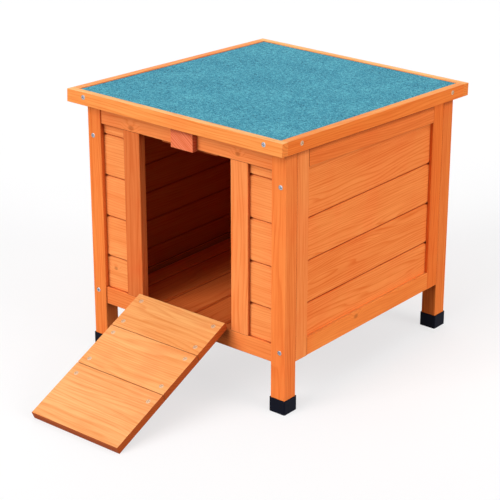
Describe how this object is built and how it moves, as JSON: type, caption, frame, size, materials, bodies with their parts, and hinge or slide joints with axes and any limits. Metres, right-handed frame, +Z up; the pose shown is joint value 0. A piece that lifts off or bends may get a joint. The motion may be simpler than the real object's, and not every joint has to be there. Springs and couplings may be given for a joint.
{
  "type": "tortoise house",
  "caption": "Stained fir tortoise house on four capped legs, with tongued and grooved walls, a hinged felted roof, a wooden turn button and a plank ramp that folds up as its door.",
  "frame": {"origin": "on the ground, in the middle of the bounding box of the whole part with its ramp open", "axes": "+X to the right seen from the front, +Y from the ramp to the back wall, +Z up"},
  "size_m": [0.46, 0.7608, 0.4786],
  "materials": {
    "stained_fir": "thin satin stain, the grain shows through",
    "turn_button_fir": "the same stain on a pinker piece with slanting grain",
    "stained_plywood": "thin matt stain",
    "green_mineral_felt": "matt felt covered with blue-green mineral granules",
    "black_plastic": "moulded, slightly shiny",
    "zinc_plated_steel": "bright zinc plating",
    "beech_dowel": "raw, fluted and glued"
  },
  "bodies": {
    "house": {"front_left_post": "stained_fir", "front_right_post": "stained_fir", "rear_left_post": "stained_fir", "rear_right_post": "stained_fir", "front_left_foot_cap": "black_plastic", "front_right_foot_cap": "black_plastic", "rear_left_foot_cap": "black_plastic", "rear_right_foot_cap": "black_plastic", "front_top_rail": "stained_fir", "front_bottom_rail": "stained_fir", "left_door_stile": "stained_fir", "right_door_stile": "stained_fir", "door_stop": "stained_fir", "front_left_boards": "stained_fir", "front_right_boards": "stained_fir", "front_board_cleats": "stained_fir", "right_wall_front_stile": "stained_fir", "right_wall_rear_stile": "stained_fir", "right_wall_top_rail": "stained_fir", "right_wall_bottom_rail": "stained_fir", "right_wall_boards": "stained_fir", "left_wall_front_stile": "stained_fir", "left_wall_rear_stile": "stained_fir", "left_wall_top_rail": "stained_fir", "left_wall_bottom_rail": "stained_fir", "left_wall_boards": "stained_fir", "back_wall_left_stile": "stained_fir", "back_wall_right_stile": "stained_fir", "back_wall_top_rail": "stained_fir", "back_wall_bottom_rail": "stained_fir", "back_wall_boards": "stained_fir", "back_wall_dowels": "beech_dowel", "floor_boards": "stained_fir", "floor_bearers": "stained_fir", "roof_hinge_fixed_leaves": "zinc_plated_steel", "roof_hinge_pins": "zinc_plated_steel", "ramp_hinge_fixed_leaves": "zinc_plated_steel", "ramp_hinge_pins": "zinc_plated_steel", "post_screws": "zinc_plated_steel", "house_hinge_screws": "zinc_plated_steel"},
    "roof": {"roof_front_trim": "stained_fir", "roof_back_trim": "stained_fir", "roof_left_trim": "stained_fir", "roof_right_trim": "stained_fir", "roof_panel": "stained_plywood", "roofing_felt": "green_mineral_felt", "roof_hinge_moving_leaves": "zinc_plated_steel", "roof_trim_screws": "zinc_plated_steel", "roof_hinge_screws": "zinc_plated_steel"},
    "ramp": {"ramp_upper_board": "stained_fir", "ramp_middle_board": "stained_fir", "ramp_lower_board": "stained_fir", "ramp_left_batten": "stained_fir", "ramp_right_batten": "stained_fir", "ramp_hinge_moving_leaves": "zinc_plated_steel", "ramp_screws": "zinc_plated_steel", "ramp_hinge_screws": "zinc_plated_steel"},
    "turn_button": {"turn_button": "turn_button_fir", "turn_button_screw": "zinc_plated_steel"}
  },
  "joints": [
    {"name": "roof_hinge", "type": "hinge", "parent": "house", "child": "roof", "pos_m": [0, 0.36201, 0.43172], "axis": [-1, 0, 0], "range_deg": [0, 100]},
    {"name": "ramp_hinge", "type": "hinge", "parent": "house", "child": "ramp", "pos_m": [0, -0.10949, 0.12025], "axis": [-1, 0, 0], "range_deg": [0, 114.9]},
    {"name": "turn_button_pivot", "type": "hinge", "parent": "house", "child": "turn_button", "pos_m": [0.018, -0.11239, 0.44039], "axis": [0, -1, 0], "range_deg": [0, 90]}
  ]
}
